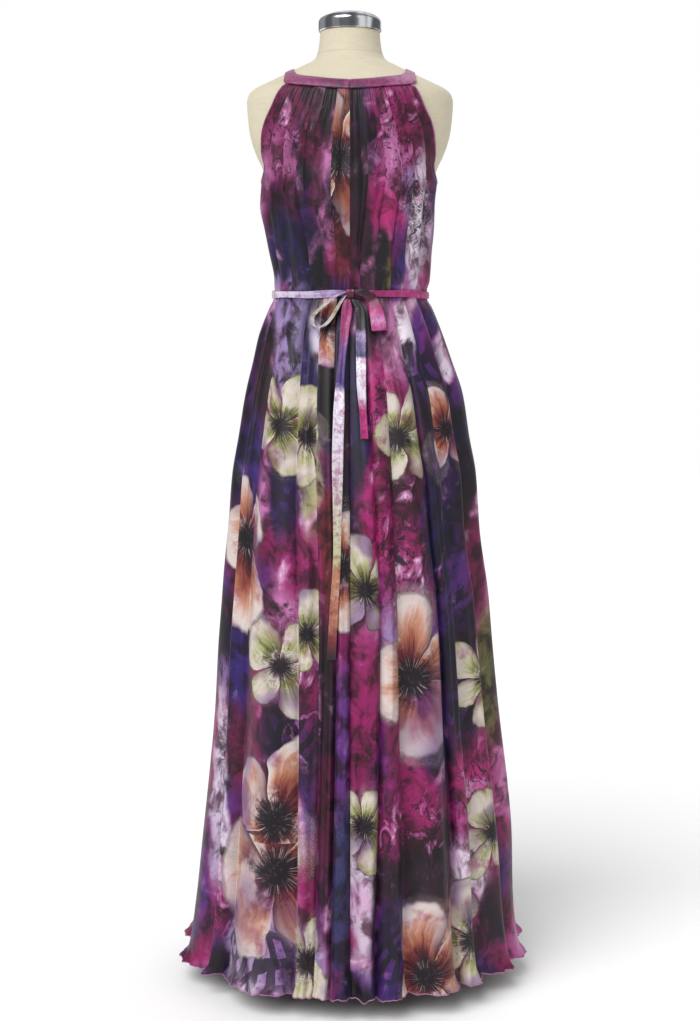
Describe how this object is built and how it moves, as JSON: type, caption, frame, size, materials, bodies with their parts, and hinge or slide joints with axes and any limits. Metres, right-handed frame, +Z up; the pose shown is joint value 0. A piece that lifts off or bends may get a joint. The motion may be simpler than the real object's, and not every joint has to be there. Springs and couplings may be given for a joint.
{
  "type": "maxi dress on a dress form",
  "caption": "Sleeveless floor-length printed dress with a gathered neck band, a tied belt with a bow and a softly folded skirt, on a limbless linen dress form with a metal neck cap",
  "frame": {"origin": "centre of the underside of the stand base, on the floor", "axes": "+Z up; the back of the dress, with the bow, faces -Y; +X is the right-hand side of the wearer"},
  "size_m": [0.542, 0.5011, 1.466],
  "materials": {
    "dress_print": "light woven cloth with a soft sheen, printed with flowers in magenta, indigo, peach and lime",
    "binding_pink": "folded and stitched cloth, dusty pink",
    "belt_print": "narrow folded strip of the printed cloth",
    "form_linen": "cream linen, matt",
    "cap_chrome": "polished",
    "stand_steel": "brushed"
  },
  "bodies": {
    "root": {"back_left": "dress_print", "back_right": "dress_print", "front": "dress_print", "neck_band": "binding_pink", "armhole_binding_left": "binding_pink", "armhole_binding_right": "binding_pink", "belt": "belt_print", "bow_knot": "belt_print", "bow_loop_left": "belt_print", "bow_loop_right": "belt_print", "bow_tail_long": "belt_print", "bow_tail_short": "belt_print", "form_torso": "form_linen", "neck_cap": "cap_chrome", "stand_pole": "stand_steel", "stand_base": "stand_steel"}
  },
  "joints": []
}
